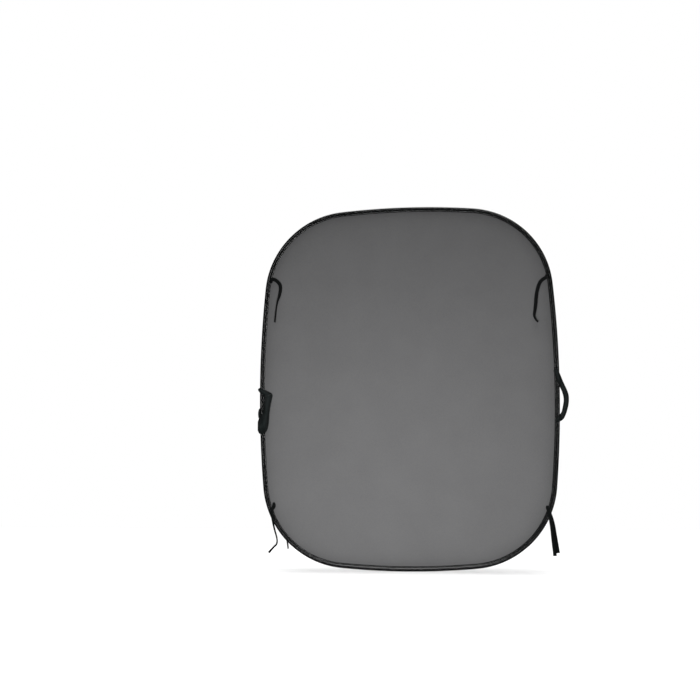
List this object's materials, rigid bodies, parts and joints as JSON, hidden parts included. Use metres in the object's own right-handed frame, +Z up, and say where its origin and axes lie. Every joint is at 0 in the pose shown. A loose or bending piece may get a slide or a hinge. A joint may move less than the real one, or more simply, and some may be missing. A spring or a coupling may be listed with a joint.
{
  "type": "collapsible backdrop panel",
  "caption": "Tall rounded studio backdrop of light cloth with a dark reverse, stretched on a sprung hoop in a bound edge, with side webbing handles and corner tie tapes.",
  "frame": {"origin": "the topmost point of the edge, halfway through its thickness, where a stand's clip grips the panel", "axes": "+X to the right seen from the front, +Y from the light front cloth to the dark back cloth, +Z up the panel's height"},
  "size_m": [1.5247, 0.0162, 1.7998],
  "materials": {
    "front_cloth": "matte",
    "back_cloth": "matte",
    "edge_binding": "satin",
    "handle_webbing": "satin",
    "tie_tape": "satin",
    "hoop_steel": "satin",
    "sleeve_steel": "satin",
    "rivet_metal": "satin"
  },
  "bodies": {
    "centre": {"binding_centre": "edge_binding", "hoop_centre": "hoop_steel", "front_cloth_centre": "front_cloth", "back_cloth_centre": "back_cloth", "hoop_sleeve": "sleeve_steel", "hoop_rivets": "rivet_metal"},
    "right_1": {"binding_right_1": "edge_binding", "hoop_right_1": "hoop_steel", "front_cloth_right_1": "front_cloth", "back_cloth_right_1": "back_cloth"},
    "right_2": {"binding_right_2": "edge_binding", "hoop_right_2": "hoop_steel", "front_cloth_right_2": "front_cloth", "back_cloth_right_2": "back_cloth"},
    "right_3": {"binding_right_3": "edge_binding", "hoop_right_3": "hoop_steel", "front_cloth_right_3": "front_cloth", "back_cloth_right_3": "back_cloth"},
    "right_4": {"binding_right_top_corner": "edge_binding", "binding_right_side": "edge_binding", "binding_right_bottom_corner": "edge_binding", "hoop_right_4": "hoop_steel", "front_cloth_right_4": "front_cloth", "back_cloth_right_4": "back_cloth", "right_handle_ends": "handle_webbing"},
    "left_1": {"binding_left_1": "edge_binding", "hoop_left_1": "hoop_steel", "front_cloth_left_1": "front_cloth", "back_cloth_left_1": "back_cloth"},
    "left_2": {"binding_left_2": "edge_binding", "hoop_left_2": "hoop_steel", "front_cloth_left_2": "front_cloth", "back_cloth_left_2": "back_cloth"},
    "left_3": {"binding_left_3": "edge_binding", "hoop_left_3": "hoop_steel", "front_cloth_left_3": "front_cloth", "back_cloth_left_3": "back_cloth"},
    "left_4": {"binding_left_top_corner": "edge_binding", "binding_left_side": "edge_binding", "binding_left_bottom_corner": "edge_binding", "hoop_left_4": "hoop_steel", "front_cloth_left_4": "front_cloth", "back_cloth_left_4": "back_cloth", "left_handle_ends": "handle_webbing"},
    "right_handle": {"right_handle": "handle_webbing"},
    "left_handle": {"left_handle": "handle_webbing"},
    "tie_upper_left_front": {"tie_upper_left_front": "tie_tape"},
    "tie_upper_left_back": {"tie_upper_left_back": "tie_tape"},
    "tie_upper_right_front": {"tie_upper_right_front": "tie_tape"},
    "tie_upper_right_back": {"tie_upper_right_back": "tie_tape"},
    "tie_lower_left_front": {"tie_lower_left_front": "tie_tape"},
    "tie_lower_left_back": {"tie_lower_left_back": "tie_tape"},
    "tie_lower_right_front": {"tie_lower_right_front": "tie_tape"},
    "tie_lower_right_back": {"tie_lower_right_back": "tie_tape"}
  },
  "joints": [
    {"name": "right_bend_1", "type": "hinge", "parent": "centre", "child": "right_1", "pos_m": [0.075, 0, -0.9], "axis": [0, 0, -1], "range_deg": [-36, 36], "stiffness_Nm_per_rad": 6},
    {"name": "right_bend_2", "type": "hinge", "parent": "right_1", "child": "right_2", "pos_m": [0.225, 0, -0.9], "axis": [0, 0, -1], "range_deg": [-34.2, 34.2], "stiffness_Nm_per_rad": 6},
    {"name": "right_bend_3", "type": "hinge", "parent": "right_2", "child": "right_3", "pos_m": [0.375, 0, -0.9], "axis": [0, 0, -1], "range_deg": [-28.8, 28.8], "stiffness_Nm_per_rad": 6},
    {"name": "right_bend_4", "type": "hinge", "parent": "right_3", "child": "right_4", "pos_m": [0.525, 0, -0.9], "axis": [0, 0, -1], "range_deg": [-19.8, 19.8], "stiffness_Nm_per_rad": 6},
    {"name": "left_bend_1", "type": "hinge", "parent": "centre", "child": "left_1", "pos_m": [-0.075, 0, -0.9], "axis": [0, 0, 1], "range_deg": [-36, 36], "stiffness_Nm_per_rad": 6},
    {"name": "left_bend_2", "type": "hinge", "parent": "left_1", "child": "left_2", "pos_m": [-0.225, 0, -0.9], "axis": [0, 0, 1], "range_deg": [-34.2, 34.2], "stiffness_Nm_per_rad": 6},
    {"name": "left_bend_3", "type": "hinge", "parent": "left_2", "child": "left_3", "pos_m": [-0.375, 0, -0.9], "axis": [0, 0, 1], "range_deg": [-28.8, 28.8], "stiffness_Nm_per_rad": 6},
    {"name": "left_bend_4", "type": "hinge", "parent": "left_3", "child": "left_4", "pos_m": [-0.525, 0, -0.9], "axis": [0, 0, 1], "range_deg": [-19.8, 19.8], "stiffness_Nm_per_rad": 6},
    {"name": "right_handle_fold", "type": "hinge", "parent": "right_4", "child": "right_handle", "pos_m": [0.746, 0, -0.9555], "axis": [0, 0, -1], "range_deg": [-145, 145]},
    {"name": "left_handle_fold", "type": "hinge", "parent": "left_4", "child": "left_handle", "pos_m": [-0.746, 0, -1.02], "axis": [0, 0, -1], "range_deg": [0, 290]},
    {"name": "tie_upper_left_front_swing", "type": "hinge", "parent": "left_4", "child": "tie_upper_left_front", "pos_m": [-0.68831, 0, -0.365], "axis": [0, 1, 0], "range_deg": [-12, 170]},
    {"name": "tie_upper_left_back_swing", "type": "hinge", "parent": "left_4", "child": "tie_upper_left_back", "pos_m": [-0.68831, 0, -0.365], "axis": [0, 1, 0], "range_deg": [-12, 170]},
    {"name": "tie_upper_right_front_swing", "type": "hinge", "parent": "right_4", "child": "tie_upper_right_front", "pos_m": [0.68831, 0, -0.365], "axis": [0, -1, 0], "range_deg": [-12, 170]},
    {"name": "tie_upper_right_back_swing", "type": "hinge", "parent": "right_4", "child": "tie_upper_right_back", "pos_m": [0.68831, 0, -0.365], "axis": [0, -1, 0], "range_deg": [-12, 170]},
    {"name": "tie_lower_left_front_swing", "type": "hinge", "parent": "left_4", "child": "tie_lower_left_front", "pos_m": [-0.67025, 0, -1.5], "axis": [0, 1, 0], "range_deg": [-12, 170]},
    {"name": "tie_lower_left_back_swing", "type": "hinge", "parent": "left_4", "child": "tie_lower_left_back", "pos_m": [-0.67025, 0, -1.5], "axis": [0, 1, 0], "range_deg": [-12, 170]},
    {"name": "tie_lower_right_front_swing", "type": "hinge", "parent": "right_4", "child": "tie_lower_right_front", "pos_m": [0.67025, 0, -1.5], "axis": [0, -1, 0], "range_deg": [-12, 170]},
    {"name": "tie_lower_right_back_swing", "type": "hinge", "parent": "right_4", "child": "tie_lower_right_back", "pos_m": [0.67025, 0, -1.5], "axis": [0, -1, 0], "range_deg": [-12, 170]}
  ],
  "couplings": [
    {"joint": "right_bend_2", "follows": "right_bend_1", "ratio": 0.95},
    {"joint": "right_bend_3", "follows": "right_bend_1", "ratio": 0.8},
    {"joint": "right_bend_4", "follows": "right_bend_1", "ratio": 0.55},
    {"joint": "left_bend_1", "follows": "right_bend_1", "ratio": 1},
    {"joint": "left_bend_2", "follows": "right_bend_1", "ratio": 0.95},
    {"joint": "left_bend_3", "follows": "right_bend_1", "ratio": 0.8},
    {"joint": "left_bend_4", "follows": "right_bend_1", "ratio": 0.55}
  ]
}
